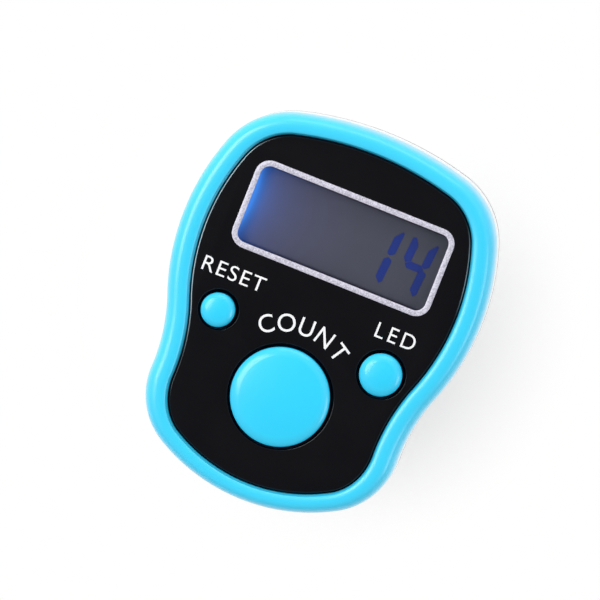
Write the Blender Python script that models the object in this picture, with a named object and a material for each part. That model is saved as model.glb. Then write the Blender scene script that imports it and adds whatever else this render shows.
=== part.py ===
"""A digital finger counter: a waisted case of two shells with a backlit display, three
press buttons, a coin cell behind a screwed door, and a soft strap round the finger.

Metres. +Z points out of the display face, +Y towards the display end. The origin is on
the ground below the middle of the case, which stands on the flat of its strap.
"""

import math

import bmesh
import bpy

mm = 0.001

# Outline of the case, seen from the front: tangent arcs from the top's middle to the base's
case_length = 40.0 * mm
case_width = 32.4 * mm
top_radius = 35.1 * mm
top_angle = 15.0
shoulder_radius = 8.4 * mm
shoulder_angle = 55.4
side_radius = 24.6 * mm
side_angle = 40.1
waist_radius = 19.3 * mm
waist_angle = 22.4
corner_radius = 7.5 * mm
corner_angle = 62.4
angle_step = 7.0

# Clearances: fit between separate pieces, bond between layers that are glued or pressed
fit = 0.3 * mm
bond = 0.1 * mm
overlap = 0.4 * mm

# Shells
wall = 1.4 * mm
back_wall = 1.5 * mm
face_wall = 1.0 * mm
back_edge_radius = 1.5 * mm
rear_height = 6.0 * mm
lip_height = 0.8 * mm
lip_thickness = 0.55 * mm
parting_gap = 0.2 * mm
rim_side = 0.071 * case_width
rim_top = 0.05 * case_length
rim_base = 0.0435 * case_length
rim_drop = 0.3 * mm
rim_rise = 0.75 * mm
rim_round = 3.0 * mm
crest_share = 0.56

# Face panel and display window
panel_thickness = 0.8 * mm
panel_gap = 0.3 * mm
panel_chamfer = 0.12 * mm
adhesive_thickness = 0.2 * mm
adhesive_margin = 0.5 * mm
window_drop = 0.2825 * case_length
window_length = 0.6512 * case_width
window_width = 0.2225 * case_length
window_radius = 1.3 * mm

# Display module
glass_thickness = 0.65 * mm
glass_margin = 1.0 * mm
contact_ledge = 1.4 * mm
polariser_thickness = 0.8 * mm
guide_thickness = 0.9 * mm
reflector_thickness = 0.15 * mm
connector_width = 1.0 * mm
led_length = 1.6 * mm
led_depth = 0.8 * mm

# Buttons and their rubber domes
button_travel = 0.8 * mm
button_rise = 1.4 * mm
button_round = 0.45 * mm
button_hole_gap = 0.3 * mm
flange_thickness = 0.7 * mm
flange_width = 0.85 * mm
dome_pressed_height = 0.8 * mm
dome_wall = 0.45 * mm
dome_foot = 0.3 * mm
count_radius = 0.1574 * case_width
count_rise = 0.284 * case_length
small_rise = 0.43175 * case_length
reset_radius = 0.0543 * case_width
reset_across = 0.2818 * case_width
light_radius = 0.0679 * case_width
light_across = 0.2688 * case_width

# Circuit board
board_thickness = 1.0 * mm
board_room = 0.9 * mm
plate_corner = 0.2 * mm
chip_corner = 0.1 * mm
blob_radius = 3.4 * mm
blob_height = 1.1 * mm
chip_length = 1.6 * mm
chip_width = 0.8 * mm
chip_height = 0.5 * mm

# Coin cell, its door and contacts
cell_radius = 6.25 * mm
cell_height = 2.0 * mm
cell_cap_radius = 5.2 * mm
cell_cap_height = 0.4 * mm
cell_edge = 0.2 * mm
cell_rise = 10.2 * mm
well_wall = 0.7 * mm
door_thickness = 1.1 * mm
door_radius = 7.4 * mm
ledge_thickness = 1.2 * mm
ledge_width = 1.2 * mm
contact_thickness = 0.2 * mm
contact_width = 2.6 * mm
contact_foot = 2.5 * mm

# Screws
screw_radius = 0.7 * mm
screw_head_radius = 1.4 * mm
screw_head_height = 0.6 * mm
screw_slot = 0.35 * mm
boss_wall = 0.65 * mm
door_screw_across = 8.4 * mm
door_screw_length = 3.1 * mm
case_screw_across = 6.5 * mm
case_screw_grip = 2.2 * mm

# Snap hook at the base
hook_width = 5.0 * mm
hook_thickness = 0.7 * mm
hook_catch = 0.65 * mm
hook_inset = 1.9 * mm

# Strap, its pin and its stud
strap_width = 10.0 * mm
strap_thickness = 1.6 * mm
strap_middle = 1.0 * mm
finger_width = 20.0 * mm
finger_depth = 17.5 * mm
strap_corner_radius = 6.4 * mm
pin_radius = 0.6 * mm
knuckle_radius = 1.9 * mm
ear_thickness = 1.6 * mm
stud_radius = 1.1 * mm
stud_base_radius = 2.1 * mm
stud_base_height = 1.0 * mm
stud_tip = 0.6 * mm
stud_offset = 2.4 * mm
tab_width = 5.6 * mm

# Heights above the back face, from the door upwards
dome_height = dome_pressed_height + button_travel
cell_low = door_thickness + fit
board_low = cell_low + cell_height + board_room
board_top = board_low + board_thickness
dome_low = board_top + bond
flange_low = dome_low + dome_height + bond
ceiling = flange_low + flange_thickness + fit
face_floor = ceiling + face_wall
panel_low = face_floor + adhesive_thickness + 2 * bond
panel_top = panel_low + panel_thickness
crest = panel_top + rim_rise
button_top = panel_top + button_rise
lip_top = rear_height + lip_height
ledge_low = door_thickness + fit
ledge_top = ledge_low + ledge_thickness

# The back face's height above the ground, and places along the case
back_height = finger_depth + strap_thickness
window_y = case_length / 2 - window_drop
count_y = count_rise - case_length / 2
small_y = small_rise - case_length / 2
cell_y = cell_rise - case_length / 2
hole_radius = screw_radius + fit
boss_radius = hole_radius + boss_wall
glass_top = window_y + window_width / 2 + glass_margin / 2
case_screw_y = glass_top + fit + boss_radius
pin_x = -(finger_width / 2 + knuckle_radius - bond)
pin_z = -(knuckle_radius + fit)
stud_x = finger_width / 2 + strap_thickness / 2 + stud_offset


def half_outline():
    """Points and outward normals of the right half of the outline, top to base.

    Each arc starts where the last one ends, in the same direction. The base arc's centre
    lies on the middle line, so its radius follows from where the corner arc ends.
    """
    arcs = (
        (top_radius, top_angle),
        (shoulder_radius, shoulder_angle),
        (side_radius, side_angle),
        (-waist_radius, -waist_angle),
        (corner_radius, corner_angle),
    )
    points = [(0.0, 0.0, 0.0)]
    x, y, heading = 0.0, 0.0, 0.0
    for arc in range(len(arcs) + 1):
        if arc < len(arcs):
            radius, turn = arcs[arc][0], math.radians(arcs[arc][1])
        else:
            radius, turn = x / math.sin(heading), math.pi - heading
        centre_x = x - radius * math.sin(heading)
        centre_y = y - radius * math.cos(heading)
        steps = max(2, math.ceil(abs(math.degrees(turn)) / angle_step))
        for step in range(1, steps + 1):
            angle = heading + turn * step / steps
            x = centre_x + radius * math.sin(angle)
            y = centre_y + radius * math.cos(angle)
            points.append((x, y, angle))
        heading += turn
    stretch_x = case_width / 2 / max(point[0] for point in points)
    stretch_y = case_length / -points[-1][1]
    half = []
    for x, y, angle in points:
        normal_x = math.sin(angle) / stretch_x
        normal_y = math.cos(angle) / stretch_y
        size = math.hypot(normal_x, normal_y)
        place = (x * stretch_x, y * stretch_y + case_length / 2)
        half.append((place, (normal_x / size, normal_y / size)))
    return half


HALF_OUTLINE = half_outline()


def outline(height, inset=0.0, rim_share=0.0):
    """The case outline at a height above the back face, moved inwards by a distance and
    by a share of the rim's width, which differs at the sides, the top and the base."""
    right = []
    for (x, y), (normal_x, normal_y) in HALF_OUTLINE:
        rim_end = rim_top if normal_y > 0 else rim_base
        rim = rim_side * normal_x**2 + rim_end * normal_y**2
        move = inset + rim_share * rim
        right.append((x - move * normal_x, y - move * normal_y, back_height + height))
    left = [(-x, y, z) for x, y, z in reversed(right[1:-1])]
    return right + left


def circle(radius, height, centre=(0.0, 0.0), steps=32):
    """A level ring of points at a height above the back face."""
    ring = []
    for step in range(steps):
        angle = math.tau * step / steps
        x = centre[0] + radius * math.cos(angle)
        y = centre[1] + radius * math.sin(angle)
        ring.append((x, y, back_height + height))
    return ring


def rounded_box(length, width, radius, height, centre=(0.0, 0.0), steps=5):
    """A level rounded rectangle: length across, width along the case."""
    ring = []
    for quarter in range(4):
        turn = math.pi / 2 * quarter
        sign_x = 1 if quarter in (0, 3) else -1
        sign_y = 1 if quarter in (0, 1) else -1
        for step in range(steps + 1):
            angle = turn + math.pi / 2 * step / steps
            x = centre[0] + sign_x * (length / 2 - radius) + radius * math.cos(angle)
            y = centre[1] + sign_y * (width / 2 - radius) + radius * math.sin(angle)
            ring.append((x, y, back_height + height))
    return ring


def stadium(radius, height, steps=16):
    """The door's outline: a half circle round each end of a straight middle."""
    straight = door_screw_across + screw_head_radius + boss_wall - door_radius
    ring = []
    for side in (1, -1):
        for step in range(steps + 1):
            angle = math.pi * step / steps - side * math.pi / 2
            x = side * straight + radius * math.cos(angle)
            y = cell_y + radius * math.sin(angle)
            ring.append((x, y, back_height + height))
    return ring


def finish(body, colour, roughness, metallic=0.0, alpha=1.0):
    """The body's own material, and smooth shading between its sharp edges."""
    material = bpy.data.materials.new(body.name)
    material.use_nodes = True
    shader = material.node_tree.nodes["Principled BSDF"]
    shader.inputs["Base Color"].default_value = (*colour, 1.0)
    shader.inputs["Roughness"].default_value = roughness
    shader.inputs["Metallic"].default_value = metallic
    shader.inputs["Alpha"].default_value = alpha
    body.data.materials.append(material)
    body.data.shade_smooth()
    body.data.set_sharp_from_angle(angle=math.radians(32))
    return body


def add_body(name, bm, origin=(0.0, 0.0, 0.0)):
    """An object from a bmesh in world places, with its origin where it is asked for."""
    bmesh.ops.recalc_face_normals(bm, faces=bm.faces)
    bmesh.ops.translate(bm, vec=[-value for value in origin], verts=bm.verts)
    mesh = bpy.data.meshes.new(name)
    bm.to_mesh(mesh)
    bm.free()
    body = bpy.data.objects.new(name, mesh)
    body.location = origin
    bpy.context.scene.collection.objects.link(body)
    return body


def loft(name, rings, origin=(0.0, 0.0, 0.0), hollow=False):
    """A closed solid through rings of equal count: flat at both ends, or where it is
    hollow, with the last ring joined to the first."""
    bm = bmesh.new()
    loops = [[bm.verts.new(point) for point in ring] for ring in rings]
    count = len(loops[0])
    pairs = list(zip(loops, loops[1:]))
    if hollow:
        pairs.append((loops[-1], loops[0]))
    for lower, upper in pairs:
        for i in range(count):
            j = (i + 1) % count
            bm.faces.new((lower[i], lower[j], upper[j], upper[i]))
    if not hollow:
        bm.faces.new(reversed(loops[0]))
        bm.faces.new(loops[-1])
    return add_body(name, bm, origin)


def disc(name, radius, low, high, centre=(0.0, 0.0), steps=32):
    """A level round plate or post between two heights."""
    rings = [circle(radius, low, centre, steps), circle(radius, high, centre, steps)]
    return loft(name, rings)


def plate(name, length, width, low, high, centre=(0.0, 0.0), radius=plate_corner):
    """A level rectangular plate with its corners rounded."""
    rings = []
    for height in (low, high):
        rings.append(rounded_box(length, width, radius, height, centre, steps=2))
    return loft(name, rings)


def bar(name, profile, start, end, axis="x"):
    """A bar along X or Y, whose profile is (along, height above the back face) points:
    along Y for a bar in X, and along X for a bar in Y."""
    rings = []
    for position in (start, end):
        ring = []
        for along, height in profile:
            if axis == "x":
                ring.append((position, along, back_height + height))
            else:
                ring.append((along, position, back_height + height))
        rings.append(ring)
    return loft(name, rings)


def round_bar(name, radius, centre_x, height, start, end, steps=24):
    """A round bar along Y."""
    profile = []
    for step in range(steps):
        angle = math.tau * step / steps
        along = centre_x + radius * math.cos(angle)
        profile.append((along, height + radius * math.sin(angle)))
    return bar(name, profile, start, end, axis="y")


def combine(body, tool, operation):
    """Joins a tool to a body, cuts it away or keeps what they share."""
    change = body.modifiers.new(tool.name, "BOOLEAN")
    change.operation = operation
    change.solver = "EXACT"
    change.object = tool
    tool.hide_render = True
    tool.display_type = "WIRE"
    return tool


def join(body, tool):
    return combine(body, tool, "UNION")


def cut(body, tool):
    return combine(body, tool, "DIFFERENCE")


# Buttons: name, radius, centre and the steps that its circles take
BUTTONS = (
    ("count", count_radius, (0.0, count_y), 44),
    ("reset", reset_radius, (-reset_across, small_y), 28),
    ("light", light_radius, (light_across, small_y), 28),
)


def front_shell():
    """The coloured upper shell: a rounded rim round a sunken face wall."""
    rim_start = crest - rim_round
    rings = [
        outline(ceiling, wall),
        outline(lip_top + fit, wall),
        outline(lip_top + fit, wall - lip_thickness - fit),
        outline(rear_height + parting_gap, wall - lip_thickness - fit),
        outline(rear_height + parting_gap),
        outline(rim_start),
    ]
    steps = 6
    for step in range(1, steps + 1):
        angle = math.pi / 2 * step / steps
        share = crest_share * (1 - math.cos(angle))
        rings.append(outline(rim_start + rim_round * math.sin(angle), 0.0, share))
    rings.append(outline(crest - rim_drop / 3, 0.0, (1 + crest_share) / 2))
    rings.append(outline(crest - rim_drop, 0.0, 1.0))
    rings.append(outline(face_floor, 0.0, 1.0))
    shell = loft("front_shell", rings)

    for side in (-1, 1):
        place = (side * case_screw_across, case_screw_y)
        boss_low = board_top + bond
        join(shell, disc("front_boss", boss_radius, boss_low, ceiling + overlap, place, 24))
        cut(shell, disc("front_boss_bore", hole_radius, boss_low - fit, screw_tip() + fit, place, 20))
    join(shell, base_hook())
    cut(shell, window_shape("face_window", fit, ceiling - fit, face_floor + fit))
    for name, radius, centre, steps in BUTTONS:
        hole = disc(name + "_face_hole", radius + fit, ceiling - fit, face_floor + fit, centre, steps)
        cut(shell, hole)
    return finish(shell, (0.03, 0.62, 0.9), 0.22)


def window_shape(name, margin, low, high):
    """A solid of the display window's outline, wider than it by a margin."""
    rings = []
    for height in (low, high):
        length = window_length + 2 * margin
        width = window_width + 2 * margin
        centre = (0.0, window_y)
        rings.append(rounded_box(length, width, window_radius + margin, height, centre))
    return loft(name, rings)


def hook_levels():
    """Heights of the hook's foot and of the middle of its catch."""
    foot = ledge_top + fit
    return foot, foot + hook_catch


def base_hook():
    """The hook inside the base, which snaps behind the rear shell's wall."""
    outer = hook_inset - case_length / 2
    inner = outer + hook_thickness
    rooted = wall / 2 - case_length / 2
    foot, catch = hook_levels()
    profile = [
        (rooted, ceiling + overlap),
        (rooted, lip_top + 2 * fit),
        (outer, lip_top + 2 * fit),
        (outer, catch + hook_catch),
        (outer - hook_catch, catch),
        (outer, foot),
        (inner, foot),
        (inner, ceiling + overlap),
    ]
    return bar("base_hook", profile, -hook_width / 2, hook_width / 2)


def hook_pocket():
    """The pocket in the rear shell's wall that holds the hook's catch."""
    outer = hook_inset - case_length / 2
    foot, catch = hook_levels()
    deep = outer - hook_catch - fit
    low = foot - fit
    high = catch + hook_catch + fit
    profile = [(deep, low), (outer, low), (outer, high), (deep, high)]
    half = hook_width / 2 + fit
    return bar("hook_pocket", profile, -half, half)


def screw_tip():
    """Height of the case screws' tips, a stated grip above the board."""
    return board_top + case_screw_grip


def rear_shell():
    """The pale lower shell, with the cell's well, the strap's ears and its stud."""
    rings = [
        outline(back_wall, wall),
        outline(lip_top, wall),
        outline(lip_top, wall - lip_thickness),
        outline(rear_height, wall - lip_thickness),
        outline(rear_height),
    ]
    steps = 4
    for step in range(steps + 1):
        angle = math.pi / 2 * step / steps
        inset = back_edge_radius * (1 - math.cos(angle))
        rings.append(outline(back_edge_radius * (1 - math.sin(angle)), inset))
    shell = loft("rear_shell", rings)

    ledge = loft("ledge", [
        stadium(door_radius + fit + ledge_width, back_wall - overlap),
        stadium(door_radius + fit + ledge_width, ledge_top),
    ])
    core_rings = [outline(0.0, wall / 2), outline(ceiling, wall / 2)]
    combine(ledge, loft("ledge_limit", core_rings), "INTERSECT")
    join(shell, ledge)
    centre = (0.0, cell_y)
    well_radius = cell_radius + fit
    well_top = board_low - 2 * fit
    join(shell, disc("well", well_radius + well_wall, ledge_top - overlap, well_top, centre, 44))
    for side in (-1, 1):
        place = (side * door_screw_across, cell_y)
        join(shell, disc("door_boss", boss_radius, ledge_top - overlap, well_top, place, 24))
        place = (side * case_screw_across, case_screw_y)
        join(shell, disc("case_boss", boss_radius, back_wall - overlap, board_low - bond, place, 24))
    for ear in strap_ears():
        join(shell, ear)
    place = (stud_x, strap_middle)
    join(shell, disc("stud_base", stud_base_radius, -stud_base_height, back_wall - overlap, place, 28))
    join(shell, strap_stud())

    cut(shell, loft("door_recess", [
        stadium(door_radius + fit, -fit),
        stadium(door_radius + fit, ledge_low),
    ]))
    cut(shell, disc("well_bore", well_radius, 0.0, board_low, centre, 44))
    cut(shell, contact_slot())
    for side in (-1, 1):
        place = (side * door_screw_across, cell_y)
        cut(shell, disc("door_boss_bore", hole_radius, 0.0, board_low, place, 20))
        place = (side * case_screw_across, case_screw_y)
        cut(shell, disc("case_boss_bore", hole_radius, -fit, board_top, place, 20))
        sink = screw_head_radius + fit
        cut(shell, disc("case_screw_sink", sink, -fit, screw_head_height + bond, place, 24))
    cut(shell, hook_pocket())
    return finish(shell, (0.86, 0.88, 0.9), 0.25)


def strap_ears():
    """Two rounded ears below the back face that hold the strap's pin."""
    ears = []
    steps = 12
    profile = [(pin_x + knuckle_radius, back_wall - overlap), (pin_x - knuckle_radius, back_wall - overlap)]
    for step in range(steps + 1):
        angle = math.pi * (1 + step / steps)
        along = pin_x + knuckle_radius * math.cos(angle)
        profile.append((along, pin_z + knuckle_radius * math.sin(angle)))
    for side, start in ear_starts():
        ear = bar("strap_ear", profile, start, start + side * ear_thickness, axis="y")
        margin = side * fit
        bore = round_bar("ear_bore", pin_radius + fit / 2, pin_x, pin_z, start - margin,
                         start + side * ear_thickness + margin)
        cut(ear, bore)
        ears.append(ear)
    return ears


def ear_starts():
    """The side and the inner face of each ear, along the case."""
    half = strap_width / 2 + fit
    return (-1, strap_middle - half), (1, strap_middle + half)


def strap_stud():
    """The stud that the strap's tab pushes onto, round at its tip."""
    tab_low = -stud_base_height - fit - strap_thickness
    tip = tab_low - stud_tip
    centre = (stud_x, strap_middle)
    rings = [circle(stud_radius, 0.0, centre, 24)]
    steps = 3
    for step in range(steps + 1):
        angle = math.pi / 2 * step / steps * 0.8
        radius = stud_radius - stud_tip * (1 - math.cos(angle))
        rings.append(circle(radius, tip + stud_tip * (1 - math.sin(angle)), centre, 24))
    return loft("strap_stud", rings)


def contact_slot():
    """The slot in the well's wall where the side contact reaches the cell."""
    inner = cell_radius
    outer = cell_radius + fit + well_wall + 2 * contact_thickness + fit
    half = contact_width / 2 + fit
    centre = ((inner + outer) / 2, cell_y)
    return plate("contact_slot", outer - inner, 2 * half, ledge_top, board_low, centre)


def face_panel():
    """The dark sheet over the face wall, with holes for the window and the buttons."""
    sheet = loft("face_panel", [
        outline(panel_low, panel_gap, 1.0),
        outline(panel_top - panel_chamfer, panel_gap, 1.0),
        outline(panel_top, panel_gap + panel_chamfer, 1.0),
    ])
    cut(sheet, window_shape("panel_window", bond, panel_low - fit, panel_top + fit))
    for name, radius, centre, steps in BUTTONS:
        hole = radius + button_hole_gap
        cut(sheet, disc(name + "_panel_hole", hole, panel_low - fit, panel_top + fit, centre, steps))
    return finish(sheet, (0.012, 0.012, 0.016), 0.08)


def display_window():
    """The clear window in the panel, over the display."""
    lens = window_shape("display_window", 0.0, panel_low, panel_top)
    return finish(lens, (0.75, 0.78, 0.82), 0.03, alpha=0.35)


def panel_adhesive():
    """The double-sided sheet between the face wall and the panel."""
    low = face_floor + bond
    high = low + adhesive_thickness
    sheet = loft("panel_adhesive", [
        outline(low, panel_gap + adhesive_margin, 1.0),
        outline(high, panel_gap + adhesive_margin, 1.0),
    ])
    cut(sheet, window_shape("adhesive_window", fit, low - fit, high + fit))
    for name, radius, centre, steps in BUTTONS:
        hole = radius + button_hole_gap + adhesive_margin
        cut(sheet, disc(name + "_adhesive_hole", hole, low - fit, high + fit, centre, steps))
    return finish(sheet, (0.75, 0.72, 0.62), 0.6)


def display_glass():
    """Two glass layers: the front one reaches further down, to the contact ledge."""
    high = ceiling - bond
    middle = high - glass_thickness
    low = middle - glass_thickness
    step_y = window_y - window_width / 2 - bond
    base_y = step_y - contact_ledge
    profile = [(glass_top, high), (base_y, high), (base_y, middle),
               (step_y, middle), (step_y, low), (glass_top, low)]
    half = window_length / 2 + glass_margin
    return finish(bar("display_glass", profile, -half, half), (0.22, 0.23, 0.26), 0.1)


def front_polariser():
    """The display's front plate with its dark film, inside the face wall's opening."""
    film = window_shape("front_polariser", 0.0, ceiling, ceiling + polariser_thickness)
    return finish(film, (0.08, 0.08, 0.1), 0.3)


def backlight():
    """The light guide behind the display, its reflector, and the lamp at its left end."""
    low = board_top + bond
    centre = (0.0, window_y)
    film = plate("backlight_reflector", window_length, window_width, low, low + reflector_thickness, centre)
    finish(film, (0.9, 0.9, 0.9), 0.4)
    guide_low = low + reflector_thickness + bond
    guide = plate("light_guide", window_length, window_width, guide_low, guide_low + guide_thickness, centre)
    finish(guide, (0.8, 0.85, 0.9), 0.1, alpha=0.5)
    lamp_x = -(window_length / 2 + bond + led_depth / 2)
    lamp = plate("backlight_led", led_depth, led_length, low, low + reflector_thickness + guide_thickness,
                 (lamp_x, window_y), radius=chip_corner)
    finish(lamp, (0.9, 0.9, 0.8), 0.3)


def display_connector():
    """The striped rubber bar that joins the board to the display's contact ledge."""
    low = board_top + bond
    high = ceiling - glass_thickness - 2 * bond
    y = window_y - window_width / 2 - bond - contact_ledge / 2 - bond
    strip = plate("display_connector", window_length, connector_width, low, high, (0.0, y))
    return finish(strip, (0.25, 0.05, 0.05), 0.6)


def circuit_board():
    """The board that fills the case, clamped between the screw bosses."""
    board = loft("circuit_board", [
        outline(board_low, wall + fit),
        outline(board_top, wall + fit),
    ])
    for side in (-1, 1):
        place = (side * case_screw_across, case_screw_y)
        cut(board, disc("board_hole", hole_radius, board_low - fit, board_top + fit, place, 20))
    notch_top = hook_inset + hook_thickness + fit - case_length / 2
    notch = [(-case_length / 2, board_low - fit), (notch_top, board_low - fit),
             (notch_top, board_top + fit), (-case_length / 2, board_top + fit)]
    half = hook_width / 2 + fit
    cut(board, bar("board_notch", notch, -half, half))
    return finish(board, (0.02, 0.22, 0.08), 0.45)


def board_parts():
    """What the board's back carries: the chip's blob of resin and two small chips."""
    high = board_low - bond
    rings = []
    steps = 4
    for step in range(steps + 1):
        angle = math.pi / 2 * step / steps * 0.85
        radius = blob_radius * math.cos(angle)
        height = high - blob_height * math.sin(angle)
        rings.append(circle(radius, height, (0.0, window_y), 24))
    finish(loft("controller_blob", rings), (0.01, 0.01, 0.01), 0.35)
    for name, side in (("led_resistor", -1), ("supply_capacitor", 1)):
        centre = (side * (blob_radius + 2 * chip_length), window_y)
        chip = plate(name, chip_width, chip_length, high - chip_height, high, centre, chip_corner)
        finish(chip, (0.05, 0.05, 0.05) if side < 0 else (0.5, 0.35, 0.2), 0.5)


def button(name, radius, centre, steps):
    """A flat-topped key with a round upper edge and a flange below the face wall."""
    x, y = centre
    flange_radius = radius + flange_width
    flange_top = flange_low + flange_thickness
    rings = [
        circle(flange_radius, flange_low, centre, steps),
        circle(flange_radius, flange_top, centre, steps),
        circle(radius, flange_top, centre, steps),
    ]
    edge_steps = 4
    for step in range(edge_steps + 1):
        angle = math.pi / 2 * step / edge_steps
        edge = radius - button_round * (1 - math.cos(angle))
        height = button_top - button_round * (1 - math.sin(angle))
        rings.append(circle(edge, height, centre, steps))
    origin = (x, y, back_height + flange_low)
    key = loft(name + "_button", rings, origin)
    return finish(key, (0.03, 0.66, 0.95), 0.25)


def rubber_dome(name, radius, centre):
    """The rubber dome under a key: a foot, a slanted skirt and a flat top."""
    foot = radius * 0.75
    top = foot * 0.5
    high = dome_low + dome_height
    rings = [
        circle(foot + dome_wall, dome_low, centre, 24),
        circle(foot + dome_wall, dome_low + dome_foot, centre, 24),
        circle(foot, dome_low + dome_foot, centre, 24),
        circle(top, high, centre, 24),
        circle(top * 0.4, high, centre, 24),
        circle(top * 0.4, high - dome_wall, centre, 24),
        circle(max(top - dome_wall, top * 0.5), high - dome_wall, centre, 24),
        circle(foot - dome_wall, dome_low, centre, 24),
    ]
    origin = (*centre, back_height + dome_low)
    dome = loft(name + "_dome", rings, origin, hollow=True)
    return finish(dome, (0.35, 0.36, 0.38), 0.7)


def coin_cell():
    """The coin cell: a steel can with its smaller cap towards the board."""
    centre = (0.0, cell_y)
    can_top = cell_low + cell_height - cell_cap_height
    rings = [
        circle(cell_radius - cell_edge, cell_low, centre, 40),
        circle(cell_radius, cell_low + cell_edge, centre, 40),
        circle(cell_radius, can_top, centre, 40),
        circle(cell_cap_radius, can_top, centre, 40),
        circle(cell_cap_radius, cell_low + cell_height, centre, 40),
    ]
    return finish(loft("coin_cell", rings), (0.72, 0.72, 0.7), 0.25, 1.0)


def contacts():
    """Bent strips from the board: one to the cell's cap, one down to the side of its can."""
    half = contact_width / 2
    high = board_low - bond
    low = cell_low + cell_height + bond
    thick = contact_thickness
    reach = cell_cap_radius * 0.6
    bend = reach * 0.5
    leaf = [
        (-reach, high), (-reach, high - thick), (-bend, high - thick), (0.0, low),
        (reach, low), (reach, low + thick), (bend * 0.2, low + thick), (-bend * 0.8, high),
    ]
    strip = bar("negative_contact", leaf, cell_y - half, cell_y + half, axis="y")
    finish(strip, (0.75, 0.7, 0.6), 0.3, 1.0)
    face = cell_radius + bond
    foot_end = face + contact_foot
    angle_strip = [
        (face, high), (face, ledge_top + fit), (face + thick, ledge_top + fit),
        (face + thick, high - thick), (foot_end, high - thick), (foot_end, high),
    ]
    strip = bar("positive_contact", angle_strip, cell_y - half, cell_y + half, axis="y")
    finish(strip, (0.75, 0.7, 0.6), 0.3, 1.0)


def battery_door():
    """The door in the back face, with a sunk seat for each of its two screws."""
    origin = (0.0, cell_y, back_height)
    door = loft("battery_door", [stadium(door_radius, 0.0), stadium(door_radius, door_thickness)], origin)
    for side in (-1, 1):
        place = (side * door_screw_across, cell_y)
        sink = screw_head_height + bond
        cut(door, disc("door_hole", hole_radius, -fit, door_thickness + fit, place, 20))
        cut(door, disc("door_sink", screw_head_radius + fit, -fit, sink, place, 24))
    return finish(door, (0.84, 0.86, 0.88), 0.3)


def screw(name, centre, tip):
    """A small screw, its cross-slotted head level with the back face."""
    steps = 16
    rings = [
        circle(screw_head_radius, 0.0, centre, steps),
        circle(screw_head_radius, screw_head_height, centre, steps),
        circle(screw_radius, screw_head_height, centre, steps),
        circle(screw_radius, tip - screw_radius, centre, steps),
        circle(screw_radius * 0.4, tip, centre, steps),
    ]
    body = loft(name, rings)
    for length, width in ((screw_radius * 2, screw_slot), (screw_slot, screw_radius * 2)):
        cross = plate(name + "_slot", length, width, -fit, screw_head_height / 2, centre, screw_slot / 5)
        cut(body, cross)
    return finish(body, (0.6, 0.6, 0.62), 0.3, 1.0)


def screws():
    """Two screws through the case and two in the battery door."""
    for side, word in ((-1, "left"), (1, "right")):
        screw("case_screw_" + word, (side * case_screw_across, case_screw_y), screw_tip())
        screw("door_screw_" + word, (side * door_screw_across, cell_y), door_screw_length)


def strap_profile():
    """The band seen along the finger: down one side, round under it and up the other."""
    leg = finger_width / 2 + strap_thickness / 2
    foot = -finger_depth - strap_thickness / 2
    radius = strap_corner_radius
    steps = 8
    path = [(-leg, pin_z, -1.0, 0.0)]
    for side in (-1, 1):
        for step in range(steps + 1):
            angle = math.pi / 2 * step / steps
            if side < 0:
                normal = (-math.cos(angle), -math.sin(angle))
            else:
                normal = (math.sin(angle), -math.cos(angle))
            x = side * (leg - radius) + radius * normal[0]
            path.append((x, foot + radius + radius * normal[1], *normal))
    path.append((leg, -stud_base_height - fit - strap_thickness / 4, 1.0, 0.0))
    half = strap_thickness / 2
    outer = [(x + half * nx, z + half * nz) for x, z, nx, nz in path]
    inner = [(x - half * nx, z - half * nz) for x, z, nx, nz in path]
    return outer + list(reversed(inner))


def finger_strap():
    """The soft strap: it turns on a pin at one side, and its tab pushes onto a stud."""
    start = strap_middle - strap_width / 2
    end = strap_middle + strap_width / 2
    profile = strap_profile()
    rings = []
    for position in (start, end):
        rings.append([(x, position, back_height + z) for x, z in profile])
    origin = (pin_x, strap_middle, back_height + pin_z)
    band = loft("finger_strap", rings, origin)
    join(band, round_bar("knuckle", knuckle_radius, pin_x, pin_z, start, end))
    join(band, strap_tab())
    margin = fit
    cut(band, round_bar("knuckle_bore", pin_radius + fit, pin_x, pin_z, start - margin, end + margin))
    tab_top = -stud_base_height - fit
    place = (stud_x, strap_middle)
    cut(band, disc("tab_hole", stud_radius + fit, tab_top - strap_thickness - fit, tab_top + fit, place, 24))
    return finish(band, (0.85, 0.87, 0.88), 0.5)


def strap_tab():
    """The tab's outline from above: straight sides and a round end about the hole."""
    top = -stud_base_height - fit
    root = finger_width / 2 + bond
    half = tab_width / 2
    steps = 12
    rings = []
    for height in (top - strap_thickness, top):
        level = back_height + height
        ring = [(root, strap_middle + half, level), (root, strap_middle - half, level)]
        for step in range(steps + 1):
            angle = math.pi * step / steps - math.pi / 2
            x = stud_x + (half - overlap) * math.cos(angle)
            ring.append((x, strap_middle + half * math.sin(angle), level))
        rings.append(ring)
    return loft("strap_tab", rings)


def strap_pin():
    """The steel pin through both ears and the strap's knuckle."""
    half = strap_width / 2 + fit + ear_thickness - bond
    pin = round_bar("strap_pin", pin_radius, pin_x, pin_z, strap_middle - half, strap_middle + half, 20)
    return finish(pin, (0.7, 0.7, 0.72), 0.2, 1.0)


def main():
    for old in list(bpy.data.objects):
        bpy.data.objects.remove(old)
    front_shell()
    rear_shell()
    face_panel()
    display_window()
    panel_adhesive()
    display_glass()
    front_polariser()
    backlight()
    display_connector()
    circuit_board()
    board_parts()
    for name, radius, centre, steps in BUTTONS:
        button(name, radius, centre, steps)
        rubber_dome(name, radius, centre)
    coin_cell()
    contacts()
    battery_door()
    screws()
    finger_strap()
    strap_pin()


main()
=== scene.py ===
import math

import bmesh
import bpy
import numpy as np
from mathutils import Matrix, Vector


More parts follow.
